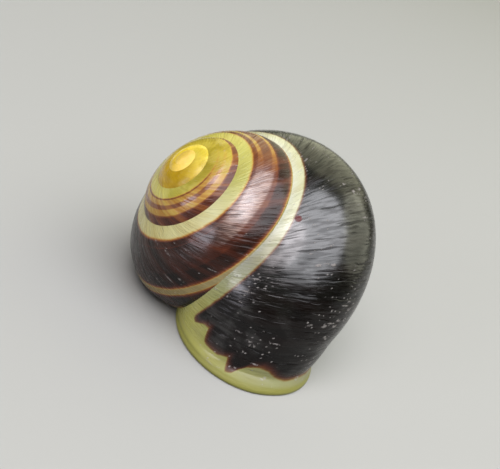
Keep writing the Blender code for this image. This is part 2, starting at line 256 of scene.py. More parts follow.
# %% Edges of the bands, as angles at a few places along the shell
BAND_STEPS = 11
BAND_TURNS = (-5.7, -3.0, -2.0, -1.5, -1.25, -1.0, -0.6, -0.3, -0.15, 0.1)
BAND_EDGES = (
    (96, 92, 82.8, 78.2, 75.2, 74.6, 72.5, 71.6, 68.0, 63),    # band 1 begins
    (94, 89, 80.8, 72.8, 70.2, 67.0, 64.5, 63.0, 60.0, 56),    # band 1 ends
    (88, 83, 74.5, 69.6, 67.8, 64.5, 62.0, 60.5, 57.5, 54),    # band 2 begins
    (84, 77, 67.6, 57.0, 56.2, 53.0, 51.0, 49.5, 47.0, 44),    # band 2 ends
    (76, 69, 59.8, 54.2, 52.4, 50.0, 47.5, 46.0, 43.5, 40),    # band 3 begins
    (66, 58, 44.0, 37.5, 34.2, 31.5, 30.0, 28.5, 27.0, 24),    # band 3 ends
    (60, 50, 34.0, 28.5, 26.8, 23.0, 21.0, 19.0, 18.0, 16),    # band 4 begins
    (40, 30, 12.0, 8.0, 5.0, 3.0, 1.0, -1.0, -2.0, -4),        # band 4 ends
    (34, 22, 4.0, 0.0, -3.0, -5.0, -8.0, -10.0, -12.0, -14),   # band 5 begins
    (-20, -30, -60, -68, -72, -76, -80, -82, -84, -86),        # band 5 ends
)
# The dark field ends short of the lip in teeth: (angle, whorls back from the mouth).
ENDING = ((95, -0.060), (70, -0.082), (64, -0.088), (60.5, -0.104), (57, -0.111), (54, -0.105),
          (50.5, -0.102), (46, -0.108), (41, -0.115), (36.5, -0.126), (33.5, -0.120),
          (30.5, -0.117), (27.5, -0.124), (25.5, -0.139), (20, -0.150), (14, -0.154), (6, -0.154),
          (-1, -0.158), (-9, -0.166), (-17, -0.172), (-40, -0.186), (-70, -0.190), (-100, -0.16))


def band_number(whorl, angle):
    """0 at the suture, 1 to 2 inside band 1 and so on, 10 where band 5 ends, 11 at the axis."""
    turn = whorl - WHORLS
    suture = np.degrees(np.interp(whorl, TABLE, SUTURE)) + 2
    edges = [suture] + [np.interp(turn, BAND_TURNS, row) for row in BAND_EDGES]
    edges = np.stack(edges + [np.degrees(np.interp(whorl, TABLE, NEAR_AXIS)) - 2], axis=-1)
    edges = np.minimum.accumulate(edges, axis=-1)
    degrees = np.degrees(angle)[..., None]
    steps = np.maximum(edges[..., :-1] - edges[..., 1:], 1e-3)
    return np.clip((edges[..., :-1] - degrees) / steps, 0, 1).sum(axis=-1)


def before_ending(whorl, angle):
    """How far a point lies before the end of the dark field, in millimetres along the shell."""
    degrees = np.degrees(angle)
    ending = np.array(ENDING)[::-1]
    gap = np.interp(degrees, ending[:, 0], ending[:, 1]) - (whorl - WHORLS)
    return gap * TAU * outline(whorl, angle)[0]


# %% [markdown]
# ## Growth lines
#
# The animal adds shell at its lip, so every growth line is a copy of the lip's own edge, moved back
# along the tube.  The number of whorls from the lip's edge, measured at a point's own angle, is the
# same all along such a line.

# %% Where each growth line runs
EDGE_ANGLES = np.radians(np.arange(-96.0, 79.0, 2.0))
EDGE_TURNS = down_to(lambda whorl: outline(whorl, EDGE_ANGLES), RIM) - WHORLS


def growth_number(whorl, angle):
    """Whorls back from the lip along the shell, the same all along a growth line."""
    slope = (EDGE_TURNS[-1] - EDGE_TURNS[-4]) / (EDGE_ANGLES[-1] - EDGE_ANGLES[-4])
    past = np.maximum(angle - EDGE_ANGLES[-1], 0) * slope
    return (whorl - WHORLS) - np.interp(angle, EDGE_ANGLES, EDGE_TURNS) - past


print("the wall ends above the lip between", EDGE_TURNS.min().round(3), EDGE_TURNS.max().round(3))

# %% [markdown]
# ## The shell's wall
#
# The wall is a grid: rows across the tube, columns along it.  Near the mouth the rows are squeezed
# so that the last one lies level, just above the lip.  A grid keeps its columns parallel to the
# bands and its rows close to the growth lines, which no remeshing would.  The underside of a whorl
# is only made where the next whorl doesn't cover it, or where the mouth shows it.

# %% The grid of the wall
ACROSS = np.concatenate([np.linspace(0, 1, 64), np.linspace(1, 2, 44)[1:]])
TUCKED = 66                         # columns that every row has: to just under the next suture
BASE_FROM, PIT_FROM = WHORLS - 1.42, WHORLS - 1.15
SQUEEZE_FROM = WHORLS - 0.5
TIP_ROWS, ROWS_PER_WHORL, SQUEEZED_ROWS = 30, 150, 61
NUCLEUS, NUCLEUS_LEVELLED = (0.7, 1.7), 0.93
DOME_TOP, DOME_RADIUS = -0.09, 3.3  # in millimetres, for the dome that the nucleus is levelled to
PIT = 6                             # columns down into the hollow round the axis
PIT_DEPTH = 0.9


def wall_line(whorl):
    """The lines along the wall, one for each column."""
    return outline(whorl, angle_across(whorl, ACROSS))


WALL_ENDS = down_to(wall_line, RIM)
tip = START - BIRTH * np.sin(np.linspace(math.pi / 2, 0, TIP_ROWS))
spire = np.linspace(START, SQUEEZE_FROM, int((SQUEEZE_FROM - START) * ROWS_PER_WHORL))[1:]
squeeze = np.linspace(0, 1, SQUEEZED_ROWS + 1)[1:, None]
WALL_ROWS = np.concatenate([np.repeat(np.concatenate([tip, spire])[:, None], len(ACROSS), axis=1),
                            SQUEEZE_FROM + (WALL_ENDS - SQUEEZE_FROM) * squeeze])
WALL_ANGLES = angle_across(WALL_ROWS, ACROSS)
wall_out, wall_up = outline(WALL_ROWS, WALL_ANGLES)
# The shell that the snail hatched with is worn to a smooth dome, so its coil is nearly levelled.
youngest = NUCLEUS_LEVELLED * (1 - eased((WALL_ROWS - NUCLEUS[0]) / (NUCLEUS[1] - NUCLEUS[0])))
dome = DOME_TOP - wall_out ** 2 / (2 * DOME_RADIUS)
wall_up = wall_up + (dome - wall_up) * youngest
WALL_POINTS = placed(WALL_ROWS, (wall_out, wall_up))
# Past the last column the wall turns up round the axis and closes the umbilicus.
core_out, core_up = outline(WALL_ROWS[:, -1], WALL_ANGLES[:, -1])
sink = np.linspace(0, 1, PIT + 1)[1:]
pit_out = core_out[:, None] * np.cos(sink * math.pi / 2) + 0.02
pit_up = core_up[:, None] + PIT_DEPTH * np.sin(sink * math.pi / 2)
PIT_ROWS = np.repeat(WALL_ROWS[:, -1:], PIT, axis=1)
PIT_POINTS = placed(PIT_ROWS, (pit_out, pit_up))
print("wall", WALL_POINTS.shape, "lowest and highest", WALL_POINTS.min((0, 1)).round(2),
      WALL_POINTS.max((0, 1)).round(2))

# %% [markdown]
# ## The lip
#
# A grown snail turns the edge of its shell outwards and thickens it.  The lip here is one profile,
# swept along the mouth: down from the wall, out in a curve, round the edge, flat underneath, and up
# again inside.  It is a piece of its own because its colour names the species, and a user may want
# to change it alone.  Its first row is the wall's last row, so no seam shows.

# %% The lip's profile along the mouth
UPRIGHT_FROM = 0.62
SWELL, SWELL_HEIGHT = 0.42, 2.4     # how far the wall turns out above the lip, and from what height
LIP_ROWS_OUT, LIP_ROWS_EDGE, LIP_ROWS_UNDER, LIP_ROWS_IN = 12, 8, 5, 10
columns = np.arange(len(ACROSS))
feet_turn = down_to(wall_line, SETTLE / 4)
heads = placed(WALL_ENDS, wall_line(WALL_ENDS))
# The first line leaves the wall at the suture before it comes down, so it goes the next ones' way.
feet_turn[0] = 2 * feet_turn[1] - feet_turn[2]
feet = placed(feet_turn, wall_line(feet_turn))[:, :2]
feet[0] = 2 * feet[1] - feet[2]
wall_end_angle = angle_across(WALL_ENDS, ACROSS)
SHARE = (wall_end_angle[0] - wall_end_angle) / (wall_end_angle[0] - wall_end_angle[-1])
upright = eased((SHARE - UPRIGHT_FROM) / (1 - UPRIGHT_FROM))[:, None]
feet = feet + (heads[:, :2] - feet) * upright
ahead = unit(np.gradient(feet, axis=0))
OUTWARD = np.stack([ahead[:, 1], -ahead[:, 0]], axis=1)
lean = ((heads[:, :2] - feet) * OUTWARD).sum(axis=1)
side = heads[:, :2] - feet - OUTWARD * lean[:, None]
flare = (LIP_FLARE - SKIN) * eased(SHARE / LIP_WIDENS)
flare = flare * (1 - NARROWED * eased((SHARE - LIP_NARROWS) / NARROWING))
# The wall begins to turn out a little above the lip, so that the two make one soft curve.
swell = SWELL * flare / LIP_FLARE * (1 - upright[:, 0])
rise = (WALL_POINTS[..., 2] - RIM) / SWELL_HEIGHT
near_lip = np.where(WALL_ROWS > SQUEEZE_FROM, 1 - eased(rise), 0)
WALL_POINTS[..., :2] += OUTWARD * (near_lip * swell)[..., None]
lean = lean + swell
print("lip leans in mm", lean.min().round(2), lean.max().round(2))


def bezier(points, count):
    """Points of a cubic curve through its two ends, drawn towards its two handles."""
    step = np.linspace(0, 1, count)[:, None, None]
    start, pull, draw, end = (np.stack(point, axis=-1)[None] for point in points)
    back = 1 - step
    return back ** 3 * start + 3 * back ** 2 * step * pull + 3 * back * step ** 2 * draw + step ** 3 * end


zero = np.zeros_like(lean)
level = zero + RIM
edge = zero + LIP_EDGE
out_curve = bezier([(lean, level), (lean * 0.92 + flare * 0.16, level * 0.76),
                    (flare * 0.80, edge * 1.95), (flare - 0.05, edge * 1.05)], LIP_ROWS_OUT)
round_edge = bezier([(flare - 0.05, edge * 1.05), (flare + 0.06, edge * 0.62),
                     (flare + 0.05, edge * 0.02), (flare - 0.16, zero + 0.0)], LIP_ROWS_EDGE)
underneath = bezier([(flare - 0.16, zero), (flare * 0.5, zero), (zero, zero),
                     (zero - WALL * 0.5, zero)], LIP_ROWS_UNDER)
inside = bezier([(zero - WALL * 0.5, zero), (zero - WALL - 0.06, zero + 0.02),
                 (zero - WALL - 0.10, edge * 1.4), (lean - WALL, level)], LIP_ROWS_IN)
LIP_PROFILE = np.concatenate([out_curve, round_edge[1:], underneath[1:], inside[1:]])
out, up = LIP_PROFILE[..., 0:1], LIP_PROFILE[..., 1:2]
# The wall doesn't come down square to the mouth's edge, so the profile slides along it as it drops.
slide = np.where(np.arange(len(LIP_PROFILE))[:, None, None] < LIP_ROWS_OUT, up / RIM, 0) * side
LIP_POINTS = np.concatenate([feet + OUTWARD * out + slide, up], axis=2)
LIP_TURNS = WALL_ENDS + (feet_turn - WALL_ENDS) * (1 - LIP_PROFILE[..., 1] / RIM)
print("lip", LIP_POINTS.shape, LIP_POINTS.min((0, 1)).round(2), LIP_POINTS.max((0, 1)).round(2))

# %% [markdown]
# ## The callus
#
# Beside the pillar the lip runs on a little way over the navel, as a rounded pad called the callus.
# It is the lip's last profile, moved on in steps and narrowed like the end of an ellipse.

# %% The callus, where the lip runs on over the navel
CALLUS_ROWS = 8
NOT_QUITE = 1.02                    # the last step stays a little wider than nothing
travel = unit(heads[-1, :2] - heads[-3, :2])
callus_steps = CALLUS * np.sin(np.linspace(0, math.pi / 2, CALLUS_ROWS + 1)[1:])
taper = np.sqrt(1 - (callus_steps / (CALLUS * NOT_QUITE)) ** 2)
last = LIP_POINTS[:, -1]
middle = last.mean(axis=0)
CALLUS_POINTS = np.stack([np.concatenate([middle[:2] + (last[:, :2] - middle[:2]) * narrow
                                          + travel * step, last[:, 2:]], axis=1)
                          for step, narrow in zip(callus_steps, taper)], axis=1)
print("callus reaches", CALLUS_POINTS[:, -1].mean(axis=0).round(2))

# %% [markdown]
# ## From grids to meshes
#
# Each grid becomes a mesh with a face wherever all four corners are wanted.  The numbers that the
# colours follow are stored on its vertices as attributes: the whorls back from the mouth, the band
# number, the growth line, the way to the end of the dark field, and the distance round the tube.

# %% Make a mesh from a grid
def grid_faces(index):
    """The faces of a grid of vertex numbers; -1 is a corner that isn't there."""
    corners = np.stack([index[:-1, :-1], index[:-1, 1:], index[1:, 1:], index[1:, :-1]], axis=-1)
    return corners[(corners >= 0).all(axis=-1)]


def number_grid(shape, wanted=None, start=0):
    """Vertex numbers of a grid, -1 where a point isn't wanted."""
    wanted = np.ones(shape, bool) if wanted is None else wanted
    index = np.full(shape, -1)
    index[wanted] = np.arange(start, start + wanted.sum())
    return index


def add_object(name, data):
    """An object in the scene, made from its data."""
    made = bpy.data.objects.new(name, data)
    bpy.context.scene.collection.objects.link(made)
    return made


def make_piece(name, points, faces, numbers):
    """A smooth mesh object in metres, with numbers on its vertices as named attributes."""
    mesh = bpy.data.meshes.new(name)
    mesh.from_pydata((points * MM).tolist(), [], faces.tolist())
    for label, values in numbers.items():
        held = mesh.attributes.new(label, "FLOAT", "POINT")
        held.data.foreach_set("value", np.asarray(values, np.float32).ravel())
    mesh.shade_smooth()
    print(name, len(points), "points", len(faces), "faces")
    return add_object(name, mesh)


def shell_numbers(whorl, angle):
    """The attributes that the shell's colours follow."""
    girth = -angle * (section(whorl)[2] + section(whorl)[3]) / 2
    return {"turn": whorl - WHORLS, "band": band_number(whorl, angle),
            "growth": growth_number(whorl, angle), "ending": before_ending(whorl, angle),
            "girth": girth}


def joined(parts):
    """One dictionary of attributes from several, end to end."""
    return {label: np.concatenate([part[label].ravel() for part in parts]) for label in parts[0]}


# %% [markdown]
# ## The wall and the lip as meshes
#
# Each mesh takes the place of the solids that it covers, and rides on the frame's body.  Where the
# two meet, their normals are made one, or light would show a crease along the join.

# %% The wall as a mesh
wanted = np.ones(WALL_ROWS.shape, bool)
wanted[:, TUCKED:] = WALL_ROWS[:, TUCKED:] >= BASE_FROM
pit_wanted = PIT_ROWS >= PIT_FROM
index = number_grid(WALL_ROWS.shape, wanted)
pit_index = number_grid(PIT_ROWS.shape, pit_wanted, int(wanted.sum()))
faces = grid_faces(np.concatenate([index, pit_index], axis=1))
pit_angles = np.repeat(WALL_ANGLES[:, -1:], PIT, axis=1)
wall = make_piece("shell", np.concatenate([WALL_POINTS[wanted], PIT_POINTS[pit_wanted]]),
                  faces[:, ::-1],
                  joined([shell_numbers(WALL_ROWS[wanted], WALL_ANGLES[wanted]),
                          shell_numbers(PIT_ROWS[pit_wanted], pit_angles[pit_wanted])]))


# %% The lip as a mesh, with the callus
def with_callus(grid):
    """A grid over the lip, its last column repeated along the callus."""
    return np.pad(np.broadcast_to(grid, LIP_TURNS.shape), ((0, 0), (0, CALLUS_ROWS)), mode="edge")


lip_points = np.concatenate([LIP_POINTS, CALLUS_POINTS], axis=1)
index = number_grid(lip_points.shape[:2])
# The profile is closed at its two ends by folding it on itself, and on top along the callus.
fold = len(index) // 2
end_cap, start_cap = (grid_faces(np.stack([index[:fold, column], index[::-1, column][:fold]], axis=1))
                      for column in (-1, 0))
callus_top = grid_faces(np.stack([index[-1, -CALLUS_ROWS - 1:], index[0, -CALLUS_ROWS - 1:]]))
lip = make_piece("lip", lip_points.reshape(-1, 3),
                 np.concatenate([grid_faces(index)[:, ::-1], end_cap[:, ::-1], start_cap,
                                 callus_top[:, ::-1]]),
                 {**shell_numbers(with_callus(LIP_TURNS).ravel(), with_callus(wall_end_angle).ravel()),
                  "drop": with_callus(1 - LIP_PROFILE[..., 1] / RIM),
                  "profile": np.repeat(np.arange(len(index)), index.shape[1])})
SHELL_NODES = [name for name in frame["nodes"] if name.startswith("shell_")]
for piece, nodes in ((wall, [name for name in SHELL_NODES if "lip" not in name]),
                     (lip, [name for name in SHELL_NODES if "lip" in name])):
    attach(piece, "root")
    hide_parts(*nodes)


def share_normals(first, first_edge, second, second_edge):
    """Give two meshes one set of normals along the row of vertices where they meet."""
    normals = [np.array([normal.vector[:] for normal in piece.data.vertex_normals])
               for piece in (first, second)]
    common = unit(normals[0][first_edge] + normals[1][second_edge])
    for piece, held, edge_row in ((first, normals[0], first_edge), (second, normals[1], second_edge)):
        held[edge_row] = common
        piece.data.normals_split_custom_set_from_vertices(held.tolist())


wall_edge = wanted.sum() - len(ACROSS) + np.arange(len(ACROSS))
share_normals(wall, wall_edge, lip, index[0, :len(ACROSS)])

# %% [markdown]
# ## The lining and the pillar
#
# Looked at from below, the mouth shows the shell's inner face.  It runs back from the lip's inner
# edge and turns up at the pillar, the columella, round which the whole shell is built.  Only the
# stretch that the mouth shows is made: the animal hides the rest.

# %% Inner face of the last whorl
INNER = np.arange(WHORLS - 0.5, WHORLS + 0.13, 0.004)
LINING_BACK, LINING_STEPS = WHORLS - 0.36, 26
LINING_CLEAR = 0.02
PILLAR, PILLAR_FACE = 9, 8
PILLAR_END, PILLAR_MOST = 1.1, WHORLS + 0.11  # the pillar's edge: height, and turn where it stops anyway
BEHIND_ROOF = 0.9                   # it reaches in behind the roof, so that no gap shows
AXIS_CLOSED = 1.5                   # how far up the axis, above the hollow, the pillar's front is closed


def inner_angle(whorl, share, inset, clear, radius):
    """Angle of a line along the inside: share 0 under the suture, 1 by the pillar."""
    first = np.interp(whorl, INNER, meeting(INNER, inset, -clear))
    last = np.interp(whorl, INNER, coming_in(INNER, radius, inset))
    return first + (last - first) * share


def lining_line(whorl):
    """The lines along the lining, one for each column of the lip."""
    return outline(whorl, inner_angle(whorl, SHARE, WALL, LINING_CLEAR, COLUMELLA), WALL)


def pillar_line(whorl, rise=np.linspace(0, 1, PILLAR + 1)[1:]):
    """The lines along the pillar, from the lining to a little behind the whorl above."""
    foot_up = outline(whorl, np.interp(whorl, INNER, coming_in(INNER, COLUMELLA, WALL)), WALL)[1]
    roof_up = np.interp(whorl - 1, TABLE, outline(TABLE, coming_in(TABLE, COLUMELLA))[1])
    return COLUMELLA + 0 * whorl * rise, foot_up + (roof_up + BEHIND_ROOF - foot_up) * rise


lining_ends, pillar_ends = down_to(lining_line, RIM), down_to(pillar_line, PILLAR_END, high=PILLAR_MOST)
steps = np.linspace(0, 1, LINING_STEPS)[:, None]
lining_rows, pillar_rows = (ends + (LINING_BACK - ends) * steps for ends in (lining_ends, pillar_ends))
lining, pillar = placed(lining_rows, lining_line(lining_rows)), placed(pillar_rows, pillar_line(pillar_rows))
# The lining starts at the lip's own inner edge, and the pillar at the lining.
lining += (LIP_POINTS[-1] - lining[0]) * (1 - eased(steps * 3))[..., None]
shift = lining[:, -1:] - placed(lining_rows[:, -1:], pillar_line(lining_rows[:, -1:], np.zeros(1)))
pillar += shift * np.linspace(1, 0, PILLAR + 1)[1:, None]
inner_points = np.concatenate([lining, pillar], axis=1)
index = number_grid(inner_points.shape[:2])
# The pillar is solid, so its front is closed, from the lining's end to the hollow round the axis.
near = inner_points[0, -PILLAR - 1:]
axis_top = placed(PIT_ROWS[-1, -1:], (pit_out[-1, -1:], pit_up[-1, -1:] + AXIS_CLOSED))
far = np.concatenate([WALL_POINTS[-1:, -1], PIT_POINTS[-1], axis_top])
far = np.stack([np.interp(np.linspace(0, PIT + 1, PILLAR + 1), np.arange(PIT + 2), far[:, axis])
                for axis in range(3)], axis=1)
face = near[:, None] + (far - near)[:, None] * np.linspace(0, 1, PILLAR_FACE)[None, :, None]
face_index = number_grid(face.shape[:2], start=index.size)
depth = np.linalg.norm(inner_points - inner_points[:1], axis=-1)
inner = make_piece("lining", np.concatenate([inner_points.reshape(-1, 3), face.reshape(-1, 3)]),
                   np.concatenate([grid_faces(index)[:, ::-1], grid_faces(face_index)[:, ::-1]]),
                   {"depth": np.append(depth, np.zeros(face_index.size))})
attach(inner, "root")
share_normals(lip, lip_points[0].shape[0] * (len(lip_points) - 1) + np.arange(len(ACROSS)),
              inner, index[0, :len(ACROSS)])

# %% [markdown]
# ## The animal
#
# The snail is drawn in, so only the front of its body shows, filling the mouth.  Along the shell
# runs the mantle's collar, a pale roll that makes the shell; in it, near the suture, is the breathing
# pore.  The folded foot fills the middle.  All of it is one skin, with the roll, the pore and the
# folds pressed into it by a few formulas, because soft bodies have no seams.

# %% The animal's skin
ANIMAL_DEPTH = 1.5                  # in millimetres, above the plane of the mouth
ANIMAL_GAP = 0.03
BORDER, ROUNDED = (0.035, 0.07), 0.020
COLLAR_ENDS = 0.23                  # how far in from the shell the mantle's collar reaches
PORE, PORE_SIZE = (0.12, 0.13), (0.040, 0.085)
FOLDS, LONG_FOLD = (0.435, 0.690), 0.62  # where the foot is folded across, and along
share, depth = np.meshgrid(np.linspace(0, 1, 150), np.linspace(0, 1, 80), indexing="ij")


def inside_line(whorl):
    """Lines along the inside of the wall, one for each share of the animal."""
    return outline(whorl, inner_angle(whorl, share, WALL + ANIMAL_GAP, 2 * ANIMAL_GAP,
                                      COLUMELLA + ANIMAL_GAP), WALL + ANIMAL_GAP)


def roof_line(whorl):
    """Lines along the whorl above, over the same places."""
    inset, radius = WALL + ANIMAL_GAP, COLUMELLA + ANIMAL_GAP
    corner = outline(whorl, inner_angle(whorl, 0, inset, 2 * ANIMAL_GAP, radius), inset)
    first = section_angle(whorl - 1, corner, -2 * ANIMAL_GAP)[0]
    last = coming_in((whorl - 1).ravel(), radius, -2 * ANIMAL_GAP).reshape(whorl.shape)
    return outline(whorl - 1, first + (last - first) * share, -2 * ANIMAL_GAP)


def animal_point(whorl):
    """Points between the wall and the roof, at each share and depth."""
    near, far = inside_line(whorl), roof_line(whorl)
    return placed(whorl, tuple(low + (high - low) * depth for low, high in zip(near, far)))


def groove(distance, width):
    """A soft groove: 1 in its middle, 0 away from it."""
    return np.exp(-(distance / width) ** 2)


front = crossing(lambda whorl: animal_point(whorl)[..., 2] < ANIMAL_DEPTH, share.shape,
                 WHORLS - 0.3, WHORLS + 0.1, halvings=22)
# How far each place sinks back into the shell, in whorls: a rounded border, the roll, pore and folds.
border = np.minimum.reduce([share / BORDER[0], (1 - share) / BORDER[0],
                            depth / BORDER[1], (1 - depth) / BORDER[1]])
sink = ROUNDED * (1 - np.sqrt(1 - (1 - np.clip(border, 0, 1)) ** 2))
collar = eased((COLLAR_ENDS - depth) / 0.05)
sink += 0.007 * (1 - collar) + 0.010 * groove(depth - COLLAR_ENDS - 0.02, 0.022)
pore = np.hypot((share - PORE[0]) / PORE_SIZE[0], (depth - PORE[1]) / PORE_SIZE[1])
sink += 0.026 * (1 - eased((pore - 0.35) / 0.65)) - 0.004 * groove(pore - 1.15, 0.25)
folded = 1 - collar
for fold in FOLDS:
    sink += 0.012 * folded * groove(share - fold - 0.03 * np.sin(depth * 5), 0.014)
sink += 0.006 * folded * groove(depth - LONG_FOLD - 0.05 * np.sin(share * 9), 0.03)
animal_points = animal_point(front - sink)
index = number_grid(share.shape)
animal = make_piece("animal", animal_points.reshape(-1, 3), grid_faces(index)[:, ::-1],
                    {"collar": collar, "pore": pore, "sink": sink})
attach(animal, "root")
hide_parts(*[name for name in frame["nodes"] if not name.startswith("shell_")])

# %% [markdown]
# ## The palette
#
# All colours stand here, where they are easy to change.  Those along the shell are given with the
# whorls back from the mouth at which they hold.  So are the strengths of the pigment, of the glossy
# film that covers it, and of the growth lines.

# %% Colours, linear, and strengths along the shell
# The ground's dip from 0.3 to 0.08 whorls before the mouth, deepest at 0.2, is painted shade on the pale
# band there.
GROUND_AND_SHADE = ((-5.8, (0.65, 0.46, 0.110)), (-4.2, (0.65, 0.46, 0.110)), (-3.9, (0.57, 0.39, 0.040)),
          (-3.65, (0.75, 0.57, 0.050)), (-3.4, (0.53, 0.43, 0.070)), (-3.1, (0.28, 0.175, 0.005)),
          (-2.9, (0.44, 0.28, 0.010)), (-2.6, (0.42, 0.34, 0.036)), (-2.3, (0.27, 0.22, 0.034)),
          (-2.05, (0.35, 0.32, 0.080)), (-1.6, (0.42, 0.37, 0.045)), (-1.5, (0.45, 0.42, 0.115)),
          (-1.4, (0.34, 0.33, 0.090)), (-1.3, (0.27, 0.26, 0.070)), (-1.2, (0.38, 0.37, 0.210)),
          (-1.0, (0.33, 0.30, 0.120)), (-0.5, (0.47, 0.48, 0.380)), (-0.3, (0.35, 0.36, 0.290)),
          (-0.2, (0.17, 0.175, 0.150)), (-0.13, (0.19, 0.20, 0.090)), (-0.08, (0.28, 0.275, 0.085)),
          (0.0, (0.20, 0.195, 0.036)))
UPPER_PIGMENT = ((-2.7, 0.0), (-2.45, 0.05), (-2.32, 0.20), (-2.22, 0.54), (-2.05, 0.54), (-1.6, 0.46),
                 (-1.45, 0.54), (-1.3, 0.70), (-1.15, 0.88), (-1.0, 0.97), (-0.8, 1.0))
LOWER_PIGMENT = ((-2.85, 0.0), (-2.6, 0.40), (-2.4, 0.62), (-2.1, 0.78), (-1.6, 0.80), (-1.35, 0.93),
                 (-1.15, 1.0), (-0.9, 1.0))
FILLING = ((-2.4, 0.0), (-2.25, 0.26), (-2.15, 0.28), (-1.7, 0.20), (-1.5, 0.18), (-1.42, 0.28),
           (-1.34, 0.66), (-1.22, 0.88), (-1.05, 0.97), (-0.9, 1.0))
STREAKING = ((-2.6, 0.45), (-1.5, 0.30), (-1.0, 0.10), (-0.6, 0.03))
FILM = ((-5.0, 0.90), (-3.0, 0.80), (-2.5, 1.0), (-1.7, 0.90), (-1.5, 1.0), (-1.22, 1.0),
        (-1.12, 0.25), (-0.9, 0.30), (-0.65, 0.85), (-0.26, 1.0), (-0.20, 0.90), (-0.12, 0.70),
        (-0.03, 0.40), (0.0, 0.10))
RELIEF = ((-5.0, 0.12), (-3.0, 0.24), (-2.5, 0.45), (-1.8, 0.70), (-1.0, 1.0))
# From the thinnest pigment to the thickest.
PIGMENT = ((0.0, (0.42, 0.28, 0.05)), (0.18, (0.29, 0.15, 0.024)), (0.38, (0.15, 0.052, 0.013)),
           (0.62, (0.070, 0.0170, 0.0075)), (0.82, (0.026, 0.0065, 0.0034)),
           (1.0, (0.0030, 0.0016, 0.0011)))
WHITE = (1.0, 1.0, 1.0)
CREAM, OLIVE = (0.92, 0.91, 0.72), (0.74, 0.74, 0.35)
DULL_OLIVE, SUTURE_TINT = (0.55, 0.47, 0.42), (0.55, 0.40, 0.22)
CLOUDY, LINED, BROWNER = (0.80, 0.66, 0.42), (0.78, 0.70, 0.52), (0.42, 0.46, 0.62)
# The first of these is a painted highlight: the pale pink laid over the whorl above the last.
PAINTED_SHEEN, DROPPED, CHALK = (0.34, 0.24, 0.20), (0.060, 0.008, 0.007), (0.24, 0.22, 0.21)
LIP_OUTSIDE, LIP_INSIDE = (0.150, 0.145, 0.034), (0.60, 0.60, 0.44)
PEARL, PEARL_DEEP, PEARL_CLOUD = (0.62, 0.62, 0.46), (0.40, 0.33, 0.26), (0.70, 0.66, 0.56)
BODY = ((0.3, (0.055, 0.045, 0.034)), (0.55, (0.12, 0.10, 0.075)), (0.75, (0.20, 0.17, 0.125)))
COLLAR_TONE = ((0.3, (0.30, 0.25, 0.14)), (0.7, (0.52, 0.47, 0.30)))
# Painted shade: nearly black for the breathing pore's opening, and darker for the skin's folds and grooves.
PORE_SHADE, FOLD_SHADE = (0.010, 0.007, 0.006), (0.03, 0.024, 0.018)
DROP_TURN, DROP_ANGLE = np.array([WHORLS - 0.300]), math.radians(69.9)
DROP_AT = placed(DROP_TURN, outline(DROP_TURN, DROP_ANGLE))[0] * MM

# %% [markdown]
# ## Node helpers
#
# Shader nodes can be placed by hand in the node editor.  Written out, they take several lines each,
# so a few short functions make the usual ones: each returns its output, ready for the next.

# %% Build shader nodes in few lines
def new_material(name):
    """A material, with its node tree and its Principled shader."""
    made = bpy.data.materials.new(name)
    made.use_nodes = True
    return made, made.node_tree, made.node_tree.nodes["Principled BSDF"]


def tree_of(*values):
    """The node tree of the first socket among some values."""
    return next(value.id_data for value in values if isinstance(value, bpy.types.NodeSocket))


def wire(value, socket):
    """Join an output to an input, or set the input to a plain value."""
    if isinstance(value, bpy.types.NodeSocket):
        socket.id_data.links.new(value, socket)
    elif value is not None:
        socket.default_value = value


def attribute(tree, name):
    """A number stored on the mesh."""
    node = tree.nodes.new("ShaderNodeAttribute")
    node.attribute_name = name
    return node.outputs["Fac"]


def maths(operation, *values, clamp=False):
    """A Math node."""
    node = tree_of(*values).nodes.new("ShaderNodeMath")
    node.operation = operation
    node.use_clamp = clamp
    for value, socket in zip(values, node.inputs):
        wire(value, socket)
    return node.outputs[0]


def times(*values):
    """The product of some values."""
    product = values[0]
    for value in values[1:]:
        product = maths("MULTIPLY", product, value)
    return product


def nudged(value, cloud, most):
    """A value moved up and down by noise that lies about 0.5."""
    return maths("MULTIPLY_ADD", maths("SUBTRACT", cloud, 0.5), most, value)


def stretch(value, low, high, to_low=0.0, to_high=1.0, smooth=True):
    """A Map Range node: from low..high to to_low..to_high."""
    node = tree_of(value).nodes.new("ShaderNodeMapRange")
    node.interpolation_type = "SMOOTHSTEP" if smooth else "LINEAR"
    for item, socket in zip((value, low, high, to_low, to_high), node.inputs):
        wire(item, socket)
    return node.outputs[0]


def window(value, rise, fall):
    """1 between two soft edges, each given by where it starts and where it ends."""
    return times(stretch(value, *rise), stretch(value, fall[1], fall[0]))


def mixed(factor, first, second, blend="MIX"):
    """A Mix node for colours."""
    node = tree_of(factor).nodes.new("ShaderNodeMix")
    node.data_type = "RGBA"
    node.blend_type = blend
    wire(factor, node.inputs[0])
    for value, socket in ((first, node.inputs[6]), (second, node.inputs[7])):
        wire((*value, 1.0) if isinstance(value, tuple) else value, socket)
    return node.outputs[2]


def colours(value, stops, smooth=False):
    """A Color Ramp node: stops are (position, colour or grey)."""
    node = tree_of(value).nodes.new("ShaderNodeValToRGB")
    node.color_ramp.interpolation = "EASE" if smooth else "LINEAR"
    elements = node.color_ramp.elements
    while len(elements) < len(stops):
        elements.new(0.5)
    for element, (position, colour) in zip(elements, sorted(stops)):
        element.position = position
        element.color = (*colour, 1.0) if isinstance(colour, tuple) else (colour, colour, colour, 1.0)
    wire(value, node.inputs[0])
    return node.outputs[0]


def along_shell(turns, stops):
    """A ramp along the shell, its stops given in whorls back from the mouth."""
    first, last = stops[0][0], stops[-1][0]
    share = stretch(turns, first, last, smooth=False)
    return colours(share, [((stop - first) / (last - first), colour) for stop, colour in stops])


def noise(vector, scale, detail=3.0):
    """A Noise Texture's value."""
    node = tree_of(vector).nodes.new("ShaderNodeTexNoise")
    wire(vector, node.inputs["Vector"])
    node.inputs["Scale"].default_value = scale
    node.inputs["Detail"].default_value = detail
    node.inputs["Roughness"].default_value = 0.55
    return node.outputs["Fac"]


